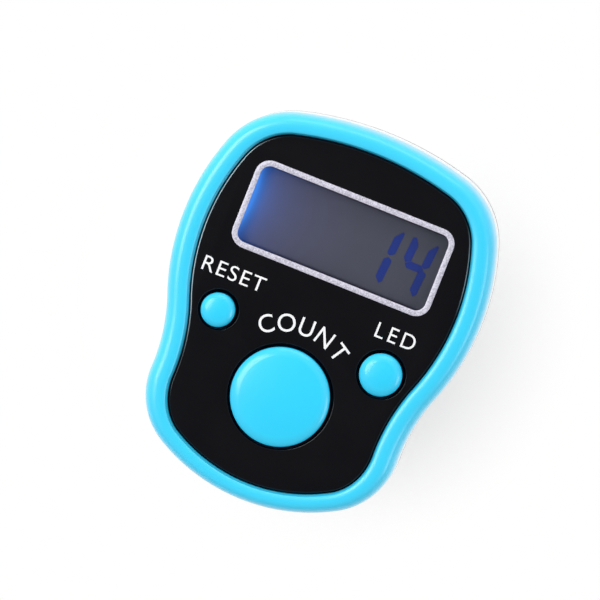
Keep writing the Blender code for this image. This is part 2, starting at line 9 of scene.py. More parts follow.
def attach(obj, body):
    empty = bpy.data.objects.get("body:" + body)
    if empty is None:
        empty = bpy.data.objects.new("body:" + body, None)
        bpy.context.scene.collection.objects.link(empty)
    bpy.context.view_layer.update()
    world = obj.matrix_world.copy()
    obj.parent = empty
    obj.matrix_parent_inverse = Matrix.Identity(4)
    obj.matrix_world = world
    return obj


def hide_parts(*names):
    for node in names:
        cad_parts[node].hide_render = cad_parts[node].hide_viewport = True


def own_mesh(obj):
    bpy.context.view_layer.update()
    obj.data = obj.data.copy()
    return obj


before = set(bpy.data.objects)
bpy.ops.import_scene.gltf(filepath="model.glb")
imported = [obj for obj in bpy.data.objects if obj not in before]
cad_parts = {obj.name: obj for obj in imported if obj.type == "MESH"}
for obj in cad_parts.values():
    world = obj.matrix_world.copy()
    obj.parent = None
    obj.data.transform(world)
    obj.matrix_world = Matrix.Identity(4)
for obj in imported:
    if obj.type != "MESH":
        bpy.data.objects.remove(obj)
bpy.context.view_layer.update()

mm = 0.001

# Sizes that the solids have too, heights counted from the case's back face
case_length = 40.0 * mm
case_width = 32.4 * mm
outline_arcs = ((35.1, 15.0), (8.4, 55.4), (24.6, 40.1), (-19.3, -22.4), (7.5, 62.4))
outline_angle = 1.5
fit = 0.3 * mm
bond = 0.1 * mm
overlap = 0.4 * mm
wall = 1.4 * mm
back_wall = 1.5 * mm
back_edge = 1.5 * mm
rear_height = 6.0 * mm
lip_top = 6.8 * mm
lip_thickness = 0.55 * mm
parting_gap = 0.2 * mm
rim_side = 0.071 * case_width
rim_top = 0.05 * case_length
rim_base = 0.0435 * case_length
panel_gap = 0.3 * mm
window_size = (0.6512 * case_width, 0.2225 * case_length)
window_radius = 1.3 * mm
window_clearance = 0.5 * mm
button_hole_gap = 0.3 * mm
flange_low = 7.1 * mm
flange_top = 7.8 * mm
flange_width = 0.85 * mm
ceiling = 8.1 * mm
polariser_top = 8.9 * mm
face_floor = 9.1 * mm
panel_low = 9.5 * mm
panel_top = 10.3 * mm
crest = 11.05 * mm
button_top = 11.7 * mm
board_low = 4.3 * mm
board_top = 5.3 * mm
dome_low = 5.4 * mm
dome_height = 1.6 * mm
dome_wall = 0.45 * mm
cell_low = 1.4 * mm
cell_radius = 6.25 * mm
cell_height = 2.0 * mm
well_wall = 0.7 * mm
door_thickness = 1.1 * mm
door_radius = 7.4 * mm
ledge_low = 1.4 * mm
ledge_top = 2.6 * mm
ledge_width = 1.2 * mm
screw_radius = 0.7 * mm
screw_head_radius = 1.4 * mm
screw_head_height = 0.6 * mm
door_screw_across = 8.4 * mm
door_screw_tip = 3.1 * mm
case_screw_across = 6.5 * mm
case_screw_tip = 7.5 * mm
hole_radius = 1.0 * mm
boss_radius = 1.65 * mm
strap_width = 10.0 * mm
strap_thickness = 1.6 * mm
strap_middle = 1.0 * mm
finger_width = 20.0 * mm
finger_depth = 17.5 * mm
strap_corner = 6.4 * mm
pin_radius = 0.6 * mm
knuckle_radius = 1.9 * mm
ear_thickness = 1.6 * mm
stud_radius = 1.1 * mm
stud_base_radius = 2.1 * mm
stud_base_height = 1.0 * mm
stud_tip = 0.6 * mm
stud_reach = 2.4 * mm
tab_half = 2.8 * mm

back_height = finger_depth + strap_thickness
face_height = back_height + panel_top
window_centre = (0.0, 0.2175 * case_length)
count_centre = (0.0, -0.216 * case_length)
reset_centre = (-0.2818 * case_width, -0.06825 * case_length)
light_centre = (0.2688 * case_width, -0.06825 * case_length)
cell_centre = (0.0, -9.8 * mm)
case_screw_y = window_centre[1] + window_size[1] / 2 + window_clearance + fit + boss_radius
case_screws = [(side * case_screw_across, case_screw_y) for side in (-1, 1)]
door_screws = [(side * door_screw_across, cell_centre[1]) for side in (-1, 1)]
pin_x = -(finger_width / 2 + knuckle_radius - bond)
pin_z = -(knuckle_radius + fit)
strap_end = -stud_base_height - fit
stud_centre = (finger_width / 2 + strap_thickness / 2 + stud_reach, strap_middle)

KEYS = {
    "count": (0.1574 * case_width, count_centre),
    "reset": (0.0543 * case_width, reset_centre),
    "light": (0.0679 * case_width, light_centre),
}


# Surfaces


def case_outline():
    """The case seen from the front, as tangent arcs from the top's middle to the base's:
    a point is its arc's centre plus the radius times (sin, cos) of the heading. The base
    arc's centre lies on the middle line. The left half mirrors the right. Returns the
    places and the outward normals, as two arrays of points."""
    x, y, heading = 0.0, 0.0, 0.0
    rows = [np.zeros((1, 3))]
    for arc in range(len(outline_arcs) + 1):
        if arc < len(outline_arcs):
            radius, turn = outline_arcs[arc][0], math.radians(outline_arcs[arc][1])
        else:
            radius, turn = x / math.sin(heading), math.pi - heading
        steps = math.ceil(abs(math.degrees(turn)) / outline_angle)
        angles = heading + turn * np.arange(1, steps + 1) / steps
        xs = x + radius * (np.sin(angles) - math.sin(heading))
        ys = y + radius * (np.cos(angles) - math.cos(heading))
        rows.append(np.column_stack([xs, ys, angles]))
        x, y, heading = rows[-1][-1]
    xs, ys, headings = np.vstack(rows).T
    stretch = np.array([case_width / 2 / xs.max(), case_length / -ys[-1]])
    right = np.column_stack([xs, ys]) * stretch + (0.0, case_length / 2)
    normal = np.column_stack([np.sin(headings), np.cos(headings)]) / stretch
    normal /= np.linalg.norm(normal, axis=1, keepdims=True)
    flip = np.array([-1.0, 1.0])
    places = np.vstack([right, (right * flip)[-2:0:-1]])
    return places, np.vstack([normal, (normal * flip)[-2:0:-1]])


OUTLINE, OUTLINE_NORMAL = case_outline()
rim_end = np.where(OUTLINE_NORMAL[:, 1] > 0, rim_top, rim_base)
RIM = rim_side * OUTLINE_NORMAL[:, 0] ** 2 + rim_end * OUTLINE_NORMAL[:, 1] ** 2


def columns(rows):
    """The columns of a list of rows, each upright, to spread over the points of a ring."""
    return np.asarray(rows, float).T[..., None]


def points(x, y, height):
    """Points from X, Y and the height above the case's back, spread to one grid."""
    return np.stack(np.broadcast_arrays(x, y, back_height + height), axis=-1)


def carried(rows):
    """Rings round the case, one for each row of height, distance and share: the outline,
    moved inwards along its normals by the distance plus the share of the rim's width."""
    height, distance, share = columns(rows)
    move = distance + share * RIM
    flat = OUTLINE - move[..., None] * OUTLINE_NORMAL
    return points(flat[..., 0], flat[..., 1], height)


def quarter(start, end, steps, lead=0):
    """Rows along a quarter ellipse between two rows: the leading column goes with the
    sine, and the others with one minus the cosine."""
    turn = np.linspace(0, math.pi / 2, steps + 1)[:, None]
    start, end = np.array(start, float), np.array(end, float)
    leads = np.arange(len(start)) == lead
    return (start + (end - start) * np.where(leads, np.sin(turn), 1 - np.cos(turn))).tolist()


def skin(name, rings, hollow=False):
    """A closed mesh through rings of points: quads between neighbouring rings, and a cap
    on the first and the last ring, or where it is hollow, the last joined to the first."""
    index = np.arange(rings[..., 0].size).reshape(rings.shape[:2])
    low = index if hollow else index[:-1]
    high = np.roll(index, -1, axis=0) if hollow else index[1:]
    quads = np.stack([low, np.roll(low, -1, 1), np.roll(high, -1, 1), high], axis=-1)
    faces = quads.reshape(-1, 4).tolist()
    if not hollow:
        faces += [index[0][::-1].tolist(), index[-1].tolist()]
    mesh = bpy.data.meshes.new(name)
    mesh.from_pydata(rings.reshape(-1, 3).tolist(), [], faces)
    return mesh


def linked(name, data):
    """A mesh, some lettering, a lamp or a camera as an object in the scene."""
    made = bpy.data.objects.new(name, data)
    bpy.context.scene.collection.objects.link(made)
    return made


def placed(name, *parts):
    """Meshes as one object at the origin, with its doubles merged, its normals outward
    and its faces smooth up to a sharp edge."""
    work = bmesh.new()
    for part in parts:
        work.from_mesh(part)
        bpy.data.meshes.remove(part)
    bmesh.ops.remove_doubles(work, verts=work.verts, dist=1e-7)
    bmesh.ops.recalc_face_normals(work, faces=work.faces)
    mesh = bpy.data.meshes.new(name)
    work.to_mesh(mesh)
    work.free()
    mesh.shade_smooth()
    mesh.set_sharp_from_angle(angle=math.radians(30))
    return linked(name, mesh)


def solid(name, rings, hollow=False):
    return placed(name, skin(name, rings, hollow))


def turned(name, rows, centre, steps=96, hollow=False):
    """A solid of revolution about a line along Z: each row of radius and height is a
    circle, and a row of no radius is a pole."""
    radius, height = columns(rows)
    angle = np.linspace(0, math.tau, steps, endpoint=False)
    x = centre[0] + radius * np.cos(angle)
    y = centre[1] + radius * np.sin(angle)
    return solid(name, points(x, y, height), hollow)


def turned_along(name, rows, steps=64):
    """A solid of revolution about the strap's pin: each row is a radius and a place on Y."""
    radius, y = columns(rows)
    angle = np.linspace(0, math.tau, steps, endpoint=False)
    x = pin_x + radius * np.cos(angle)
    return solid(name, points(x, y, pin_z + radius * np.sin(angle)))


def pillar(name, radius, low, high, place, steps=48):
    """A plain upright round bar, used only to cut or join."""
    return turned(name, [(radius, low), (radius, high)], place, steps)


def rounded_bar(name, radius, half, edge, steps=64):
    """A bar along the strap's pin, half its length to each side of the strap's middle,
    with quarter circles round its ends."""
    start, end = strap_middle - half, strap_middle + half
    rows = quarter((radius - edge, start), (radius, start + edge), 5)
    rows += quarter((radius, end - edge), (radius - edge, end), 5, lead=1)
    return turned_along(name, rows, steps)


def rounded_rectangle(length, width, radius, steps=12):
    """Four quarter circles about the inner corners, joined by straight sides."""
    corner = np.repeat(np.arange(4), steps + 1)
    angle = np.radians(corner * 90 + np.tile(np.linspace(0, 90, steps + 1), 4))
    sign_x = np.array([1, -1, -1, 1])[corner]
    sign_y = np.array([1, 1, -1, -1])[corner]
    x = sign_x * (length / 2 - radius) + radius * np.cos(angle)
    y = sign_y * (width / 2 - radius) + radius * np.sin(angle)
    return x, y


def window_rings(rows):
    """Rounded rectangles round the display window: each row is a height and how far the
    ring is wider than the window on every side."""
    height, margin = columns(rows)
    length, width = (size + 2 * margin for size in window_size)
    x, y = rounded_rectangle(length, width, window_radius + margin)
    return points(window_centre[0] + x, window_centre[1] + y, height)


def stadium_rings(rows, steps=40):
    """The door's outline: a half circle round each end of a straight middle, for rows of
    height and radius."""
    straight = door_screw_across + boss_radius + overlap - door_radius
    half = np.linspace(-math.pi / 2, math.pi / 2, steps + 1)
    angle = np.concatenate([half, half + math.pi])
    middle = np.repeat([straight, -straight], steps + 1)
    height, radius = columns(rows)
    x = middle + radius * np.cos(angle)
    y = cell_centre[1] + radius * np.sin(angle)
    return points(x, y, height)


def block(name, low, high):
    """A plain block between two corners, used only to cut."""
    x = np.array([low[0], high[0], high[0], low[0]])
    y = np.array([low[1], low[1], high[1], high[1]])
    return solid(name, points(x, y, np.array([[low[2]], [high[2]]])))


def settled(piece, *tools):
    """The mesh that a piece comes to, after which the piece and its tools go."""
    graph = bpy.context.evaluated_depsgraph_get()
    mesh = bpy.data.meshes.new_from_object(piece.evaluated_get(graph))
    for made in (piece, *tools):
        bpy.data.objects.remove(made)
    return mesh


def shaped(piece, joins=(), cuts=(), limits=()):
    """The piece with the joins added, then without the cuts, then only what lies within
    the limits."""
    name = piece.name
    for operation, tools in (("UNION", joins), ("DIFFERENCE", cuts), ("INTERSECT", limits)):
        for tool in tools:
            change = piece.modifiers.new(tool.name, "BOOLEAN")
            change.operation = operation
            change.solver = "EXACT"
            change.object = tool
    return placed(name, settled(piece, *joins, *cuts, *limits))


def marked(piece, name, measure):
    """The piece with a number on every point, worked out from the points' places: how far
    it lies from the outline, as a share of the rim's width, and its height."""
    mesh = piece.data
    places = np.empty(len(mesh.vertices) * 3)
    mesh.vertices.foreach_get("co", places)
    places = places.reshape(-1, 3)
    away = np.hypot(places[:, :1] - OUTLINE[:, 0], places[:, 1:2] - OUTLINE[:, 1])
    share = away.min(axis=1) / RIM[away.argmin(axis=1)]
    mark = mesh.attributes.new(name, "FLOAT", "POINT")
    mark.data.foreach_set("value", measure(share, places[:, 2] - back_height))
    return piece


def between(height, levels):
    """1 from the second level to the third, falling to 0 at the first and the fourth."""
    return np.interp(height, levels, [0.0, 1.0, 1.0, 0.0])


# Finishes

FINISHES = {}


class Number:
    """A number that changes over a surface: an operator on it adds a Math node."""

    def __init__(self, finish, link):
        self.finish = finish
        self.link = link

    def __add__(self, other):
        return self.finish.math("ADD", self, other)

    def __sub__(self, other):
        return self.finish.math("SUBTRACT", self, other)

    def __rsub__(self, other):
        return self.finish.math("SUBTRACT", other, self)

    def __mul__(self, other):
        return self.finish.math("MULTIPLY", self, other)

    def __truediv__(self, other):
        return self.finish.math("DIVIDE", self, other)

    __radd__ = __add__
    __rmul__ = __mul__


class Nodes:
    """A tree of shader nodes, of a material or of the world."""

    def __init__(self, tree):
        self.tree = tree

    def node(self, kind, settings, sockets, output=0):
        """Adds a node of any type: its settings come first, then its sockets."""
        made = self.tree.nodes.new(kind)
        for name, value in settings.items():
            setattr(made, name, value)
        for name, value in sockets.items():
            if isinstance(value, Number):
                self.tree.links.new(value.link, made.inputs[name])
            else:
                made.inputs[name].default_value = value
        return Number(self, made.outputs[output])

    def math(self, operation, first, second=0.0):
        return self.node("ShaderNodeMath", {"operation": operation}, {0: first, 1: second})

    def bell(self, value):
        """1 where the value is 0, falling to a third where it is 1 either way."""
        return self.math("EXPONENT", value * value * -1.0)

    def rays(self):
        """1 for a ray from the camera, from a mirroring surface and through a clear one."""
        path = self.node("ShaderNodeLightPath", {}, {}).link.node
        names = ("Is Camera Ray", "Is Glossy Ray", "Is Transmission Ray")
        return [Number(self, path.outputs[name]) for name in names]

    def ramp(self, value, low, high):
        """0 below the low value, 1 above the high one, and smooth between."""
        settings = {"interpolation_type": "SMOOTHSTEP"}
        sockets = {"Value": value, "From Min": low, "From Max": high}
        return self.node("ShaderNodeMapRange", settings, sockets)


class Finish(Nodes):
    """A material, with the nodes that vary it over the piece's own coordinates."""

    def __init__(self, name, **constants):
        self.material = FINISHES[name] = bpy.data.materials.new(name)
        self.material.use_nodes = True
        super().__init__(self.material.node_tree)
        self.shader = self.tree.nodes["Principled BSDF"]
        for socket, value in constants.items():
            self.feed(socket.replace("_", " "), value)

    def feed(self, socket, value):
        """Puts a number, a colour or a link into one of the shader's sockets."""
        target = self.shader.inputs[socket]
        if isinstance(value, Number):
            self.tree.links.new(value.link, target)
        elif isinstance(value, tuple):
            target.default_value = (*value, 1.0)
        else:
            target.default_value = value

    def place(self):
        return self.node("ShaderNodeTexCoord", {}, {}, "Object")

    def mark(self, name):
        """The number that the piece's points carry under this name."""
        return self.node("ShaderNodeAttribute", {"attribute_name": name}, {}, "Fac")

    def axes(self):
        """The piece's own X, Y and Z, in metres."""
        split = self.node("ShaderNodeSeparateXYZ", {}, {"Vector": self.place()})
        return [Number(self, split.link.node.outputs[axis]) for axis in "XYZ"]

    def noise(self, size, detail=2.0, stretch=(1.0, 1.0, 1.0)):
        """Soft noise from 0 to 1 whose features are about this many millimetres across."""
        where = self.node("ShaderNodeMapping", {}, {"Vector": self.place(), "Scale": stretch})
        sockets = {"Vector": where, "Scale": 1 / (size * mm), "Detail": detail}
        return self.node("ShaderNodeTexNoise", {}, sockets)

    def falloff(self, value, start, reach):
        """1 at the start, falling to a third with each reach beyond it."""
        return self.math("EXPONENT", (value - start) / -reach)

    def mix(self, share, first, second):
        """From the first colour to the second."""
        colours = {0: share}
        for socket, colour in ((6, first), (7, second)):
            colours[socket] = (*colour, 1.0) if isinstance(colour, tuple) else colour
        return self.node("ShaderNodeMix", {"data_type": "RGBA"}, colours, 2)

    def tint(self, share, first, second):
        """Colours the surface, from the first colour to the second."""
        self.feed("Base Color", self.mix(share, first, second))

    def bump(self, height, depth):
        """Relief of a number from 0 to 1, this many millimetres deep."""
        sockets = {"Height": height, "Distance": depth * mm}
        self.feed("Normal", self.node("ShaderNodeBump", {}, sockets))


def shade(colour, factor):
    return tuple(value * factor for value in colour)


def moulded(name, colour, roughness, coat, grain, depth, variation=0.05,
            coat_roughness=0.04, recess=None, specular=0.5):
    """Injection-moulded plastic: its colour drifts slightly over the part, its gloss is
    broken by fine handling marks, and its skin has a shallow relief, whose grain and depth
    are in millimetres. Where the piece's recess mark is set, painted shade darkens it to a
    second colour, without gloss."""
    finish = Finish(name, Coat_Roughness=coat_roughness, Specular_IOR_Level=specular)
    drift = finish.noise(9, 3.0)
    skin = finish.mix(drift, shade(colour, 1 - variation), shade(colour, 1 + variation))
    marks = finish.noise(0.5, 4.0)
    gloss = coat - marks * 0.1
    # The recess colour is painted shade: it darkens gaps and grooves where shade falls, and takes the
    # gloss away.
    if recess:
        inside = finish.mark("recess")
        skin = finish.mix(inside, skin, recess)
        gloss = gloss * (1 - inside)
    finish.feed("Base Color", skin)
    finish.feed("Roughness", roughness + marks * 0.08)
    finish.feed("Coat Weight", gloss)
    finish.bump(finish.noise(grain), depth)


def bare_metal(name, colour, roughness, stretch):
    """Drawn or plated metal: fine lines along one way, and cloudy gloss."""
    finish = Finish(name, Metallic=1.0)
    lines = finish.noise(0.12, 3.0, stretch)
    clouds = finish.noise(1.6)
    finish.tint(lines, shade(colour, 0.82), colour)
    finish.feed("Roughness", roughness + clouds * 0.14)
    finish.bump(lines, 0.004)


def panel_finish():
    """Clear sheet printed black on its back: deep gloss with faint wiping marks. A painted
    highlight lightens its cut edge at the left, and less at the upper right."""
    finish = Finish("panel_black")
    haze = finish.noise(3.5, 3.0)
    wipes = finish.noise(0.35, 3.0, (0.12, 1.0, 1.0))
    print_black = finish.mix(haze, (0.0026, 0.0026, 0.0042), (0.0045, 0.0044, 0.0062))
    x, y, z = finish.axes()
    left = finish.ramp(x, -7 * mm, -10.5 * mm) * finish.ramp(y, -9 * mm, -2 * mm)
    left = left * finish.ramp(y, 15.5 * mm, 13 * mm)
    right = finish.ramp(x, 11 * mm, 13 * mm) * finish.ramp(y, 5 * mm, 9 * mm) * 0.4
    # Painted highlight: the cut edge turns pale where the lamps would glint on it, at the left and the
    # upper right.
    pale = finish.mark("edge_highlight") * (left + right) * 0.8
    finish.tint(pale, print_black, (0.9, 0.98, 1.0))
    finish.feed("Roughness", 0.05 + haze * 0.05 + wipes * 0.05)
    finish.bump(finish.noise(6, 1.0), 0.01)


def silver_finish():
    """Silver screen-print: fine flakes, some bright and some dull."""
    finish = Finish("silver_print", Metallic=0.25)
    sockets = {"Vector": finish.place(), "Scale": 1 / (0.11 * mm)}
    flakes = finish.node("ShaderNodeTexVoronoi", {}, sockets, "Color")
    grey = finish.node("ShaderNodeRGBToBW", {}, {"Color": flakes})
    finish.tint(grey, (0.40, 0.39, 0.46), (0.80, 0.77, 0.90))
    finish.feed("Roughness", 0.32 + grey * 0.3)
    finish.bump(grey, 0.006)


def display_finish():
    """The display's film: grey, painted lighter and bluer towards its left end, with the blue
    lamp's glow painted on it as emission that spreads from that end.
    """
    finish = Finish("polariser_film", Emission_Strength=1.0, Specular_IOR_Level=0.3)
    x, y, z = finish.axes()
    left = window_centre[0] - window_size[0] / 2
    near = finish.falloff(x, left + 0.75 * mm, 0.5 * mm)
    wide = finish.falloff(x, left + 0.5 * mm, 2.4 * mm)
    spot = finish.bell((y - (window_centre[1] + 0.4 * mm)) / (3.2 * mm))
    cloud = finish.noise(5)
    # Painted light: the film is lighter and bluer towards the lamp's end.
    side = finish.ramp(x + cloud * (4 * mm), -6 * mm, 10 * mm)
    film = finish.mix(side, (0.114, 0.116, 0.178), (0.096, 0.104, 0.141))
    # Painted shadow: the film darkens near its upper and lower edges, under the window's edge.
    off = finish.math("ABSOLUTE", y - window_centre[1])
    half = window_size[1] / 2
    painted_edge_shade = finish.ramp(off, half - 0.65 * mm, half - 0.3 * mm)
    finish.tint(painted_edge_shade, film, (0.02, 0.02, 0.045))
    finish.feed("Roughness", 0.42 + cloud * 0.08)
    # Painted glow: the film emits the lamp's blue light, strongest near its left end.
    glow = finish.mix(wide * (0.2 + spot * 0.16), (0.0, 0.0, 0.0), (0.0, 0.17, 1.0))
    glow = finish.mix(near * spot * 0.62, glow, (0.03, 0.28, 1.0))
    finish.feed("Emission Color", glow)
    finish.bump(finish.noise(0.08), 0.002)


def ink_finish(name, colour, weak):
    """Printed ink or a display segment: nearly even, with thin places."""
    finish = Finish(name)
    thin = finish.noise(0.18)
    finish.tint(thin, shade(colour, weak), colour)
    finish.feed("Roughness", 0.4 + thin * 0.15)


def window_finish():
    """Clear acrylic, seen as a thin dark gloss over the display."""
    finish = Finish("window_clear", Base_Color=(0.02, 0.02, 0.03))
    marks = finish.noise(2.2, 3.0)
    finish.feed("Alpha", 0.10 + marks * 0.05)
    finish.feed("Roughness", 0.03 + marks * 0.05)


def silicone_finish():
    """Soft white silicone: a matt skin with fine grain and cloudy tint."""
    finish = Finish("strap_silicone", Subsurface_Weight=0.15, Subsurface_Scale=1.2 * mm,
                    Sheen_Weight=0.12)
    cloud = finish.noise(4)
    grain = finish.noise(0.09)
    finish.tint(cloud, (0.80, 0.82, 0.84), (0.88, 0.90, 0.915))
    finish.feed("Roughness", 0.44 + grain * 0.16)
    finish.bump(grain, 0.006)


def board_finish():
    """Green solder mask over copper tracks, which wander a little."""
    finish = Finish("board_green")
    x, y, z = finish.axes()
    wander = finish.noise(3, 1.0) * 0.9
    rows = finish.math("SINE", y / (0.16 * mm) + wander * 6.0)
    tracks = finish.ramp(rows, 0.35, 0.6)
    finish.tint(tracks, (0.012, 0.15, 0.05), (0.03, 0.27, 0.09))
    finish.feed("Roughness", 0.3 + tracks * 0.12)
    finish.bump(tracks, 0.02)


def striped_finish():
    """Elastomer connector: conducting layers between red rubber ones."""
    finish = Finish("connector_rubber")
    x, y, z = finish.axes()
    layers = finish.ramp(finish.math("SINE", x / (0.03 * mm)), -0.1, 0.1)
    finish.tint(layers, (0.42, 0.06, 0.05), (0.02, 0.02, 0.02))
    finish.feed("Roughness", 0.55 + layers * 0.2)


def lamp_finish():
    """The blue lamp at the display's left end, brightest at its middle."""
    finish = Finish("lamp_blue", Emission_Strength=2.0, Roughness=0.3)
    x, y, z = finish.axes()
    spot = finish.bell((y - window_centre[1]) / (0.6 * mm))
    finish.tint(spot, (0.7, 0.7, 0.6), (0.6, 0.7, 1.0))
    finish.feed("Emission Color", finish.mix(spot, (0.0, 0.02, 0.1), (0.05, 0.25, 1.0)))


def clear_finish(name, colour, alpha):
    """Clear sheet inside the case, with a faint haze."""
    finish = Finish(name)
    haze = finish.noise(1.5)
    finish.tint(haze, shade(colour, 0.9), colour)
    finish.feed("Roughness", 0.06 + haze * 0.1)
    finish.feed("Alpha", alpha + haze * 0.1)


rim_cyan = (0.045, 0.66, 0.97)
key_cyan = (0.03, 0.65, 0.97)
# Painted shade: the dark blue that the gaps round the panel and the keys' posts take
gap_painted_shade = (0.0, 0.03, 0.10)
groove_painted_shade = (0.16, 0.165, 0.17)
# Painted shade: the grey that darkens the white shell's fine groove
white = (0.80, 0.855, 0.875)

# Colour, roughness, coat, grain, depth and variation, then the rest by name or in order
moulded("case_colour", rim_cyan, 0.3, 0.8, 1.1, 0.004, 0.03, 0.26, gap_painted_shade, 0.3)
# The keys take painted shade on their posts below the panel's top.
moulded("key_colour", key_cyan, 0.34, 0.65, 0.9, 0.004, 0.03, 0.14, gap_painted_shade, 0.3)
moulded("case_white", white, 0.18, 0.6, 0.9, 0.006, 0.02, recess=groove_painted_shade)
moulded("door_white", shade(white, 0.985), 0.34, 0.15, 0.1, 0.01, 0.02)
moulded("dome_rubber", (0.33, 0.34, 0.36), 0.55, 0.0, 0.12, 0.008)
moulded("adhesive_film", (0.75, 0.72, 0.62), 0.5, 0.0, 0.3, 0.01)
moulded("reflector_white", (0.88, 0.88, 0.88), 0.35, 0.0, 0.3, 0.005)
moulded("resin_black", (0.011, 0.011, 0.012), 0.2, 0.3, 0.6, 0.03)
moulded("chip_black", (0.04, 0.04, 0.045), 0.35, 0.0, 0.1, 0.006)
moulded("chip_brown", (0.42, 0.29, 0.18), 0.4, 0.0, 0.1, 0.006)
bare_metal("screw_steel", (0.62, 0.62, 0.64), 0.24, (1.0, 1.0, 1.0))
bare_metal("pin_steel", (0.72, 0.72, 0.74), 0.16, (1.0, 0.1, 1.0))
bare_metal("cell_steel", (0.74, 0.73, 0.71), 0.2, (1.0, 0.06, 1.0))
bare_metal("contact_nickel", (0.76, 0.71, 0.6), 0.22, (0.1, 1.0, 1.0))
ink_finish("label_ink", (0.93, 0.93, 0.95), 0.92)
ink_finish("digit_ink", (0.004, 0.036, 0.34), 0.85)
clear_finish("display_glass", (0.32, 0.33, 0.36), 0.5)
clear_finish("guide_clear", (0.8, 0.86, 0.95), 0.35)
panel_finish()
silver_finish()
window_finish()
display_finish()
silicone_finish()
board_finish()
striped_finish()
lamp_finish()


def dress(piece, body, finish, stands_for=None):
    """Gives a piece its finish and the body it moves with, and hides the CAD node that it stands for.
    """
    piece.data.materials.clear()
    piece.data.materials.append(FINISHES[finish])
    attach(piece, body)
    if stands_for:
        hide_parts(stands_for)
    return piece


# Case and keys


def key_hole(name, margin, low, high, flare=0.0):
    """A round cutter for a key's hole, which may open out at its upper end."""
    radius, centre = KEYS[name]
    radius += margin
    rows = [(radius, low), (radius, high - flare)]
    if flare:
        rows += quarter(rows[-1], (radius + flare, high), 4, lead=1)[1:]
        rows.append((radius + flare, high + fit))
    return turned(name + "_hole", rows, centre, 128)


def softened(rows):
    """The rim's section with its bends eased: evenly spaced along its length, each row is
    the mean of the rows round it, over fewer rows near the two ends."""
    metres = np.array([1.0, 1.0, rim_side])
    step = np.linalg.norm(np.diff(rows * metres, axis=0), axis=1)
    along = np.concatenate([[0.0], np.cumsum(step)])
    even = np.linspace(0.0, along[-1], 81)
    rows = np.column_stack([np.interp(even, along, column) for column in rows.T])
    last = len(rows) - 1
    reach = [min(2, i, last - i) for i in range(len(rows))]
    return np.array([rows[i - r:i + r + 1].mean(axis=0) for i, r in enumerate(reach)])


def rim_shell():
    """The coloured shell. Its section goes up the outer wall, over a quarter of a
    superellipse to the rim's crest, along a parabola that falls slowly inwards, round a
    small quarter ellipse, and down the rim's inner wall, which leans in by a small draft."""
    foot = rear_height + parting_gap
    lip_seat = lip_top + fit
    lip_side = wall - lip_thickness - fit
    edge = 0.2 * mm
    rows = [(ceiling, wall, 0), (lip_seat, wall, 0), (lip_seat, lip_side, 0), (foot, lip_side, 0)]
    rows += quarter((foot, edge, 0), (foot + edge, 0, 0), 4, lead=1)
    shoulder, power = 2.6 * mm, 2.8
    crest_share, edge_share = 0.7, 0.92
    turn = np.linspace(0, math.pi / 2, 60)
    up, across = np.sin(turn) ** (2 / power), 1 - np.cos(turn) ** (2 / power)
    outer_side = np.column_stack([crest - shoulder * (1 - up), 0 * up, crest_share * across])
    crest_fall, edge_fall = 0.08 * mm, 0.33 * mm
    share = np.linspace(crest_share, edge_share, 20)[1:]
    fall = crest_fall * ((share - crest_share) / (edge_share - crest_share)) ** 2
    top = np.column_stack([crest - fall, 0 * share, share])
    edge_low = crest - edge_fall
    inner_side = quarter(top[-1], (edge_low, 0, 1), 12, lead=2)
    rows += softened(np.vstack([outer_side, top, inner_side[1:]])).tolist()
    draft, root = 0.14 * mm, 0.25 * mm
    wall_down = np.linspace(edge_low, face_floor, 8)[1:]
    lean = np.interp(wall_down, [panel_top, edge_low], [draft, 0])
    rows += np.column_stack([wall_down, lean, np.ones_like(lean)]).tolist()
    rows.append((face_floor, root, 1))
    low, high = ceiling - fit, face_floor + fit
    cuts = [solid("face_window", window_rings([(low, fit), (high, fit)]))]
    cuts += [key_hole(name, fit, low, high) for name in KEYS]
    bosses = []
    for place in case_screws:
        bosses.append(pillar("boss", boss_radius, board_top + bond, ceiling + overlap, place))
        cuts.append(pillar("bore", hole_radius, board_top - bond, case_screw_tip + fit, place))

    def depth(share, height):
        """Painted shade in the gap round the panel: 0 on the rim, a half on its inner wall
        below the panel's top, and from there to 1 on the face wall under the panel."""
        levels = [ceiling, face_floor, panel_top - 0.3 * mm, panel_top + 0.1 * mm]
        inwards = np.interp(share, [1.0, 1.1], [0.5, 1.0])
        return between(height, levels) * inwards * (share > 0.93)

    # The recess mark carries the painted shade in the gap between the rim and the panel.
    return marked(shaped(solid("rim_shell", carried(rows)), bosses, cuts), "recess", depth)


def panel_sheet():
    """The dark sheet: its upper edge and its holes' edges are small quarter rounds."""
    edge = 0.12 * mm
    rows = [(panel_low, panel_gap, 1)]
    rows += quarter((panel_top - edge, panel_gap, 1), (panel_top, panel_gap + edge, 1), 4)
    low = panel_low - fit
    cuts = [solid("window_hole", window_rings([(low, bond), (panel_top + fit, bond)]))]
    cuts += [key_hole(name, button_hole_gap, low, panel_top, edge) for name in KEYS]

    def pale(share, height):
        """Where the painted highlight goes: 1 on the small round along the outer edge, 0 on the flat
        top and below.
        """
        levels = panel_top - edge * np.array([1.3, 1.0, 0.07, 0.0])
        return between(height, levels) * (share < 1.3)

    sheet = shaped(solid("panel_sheet", carried(rows)), cuts=cuts)
    return marked(sheet, "edge_highlight", pale)


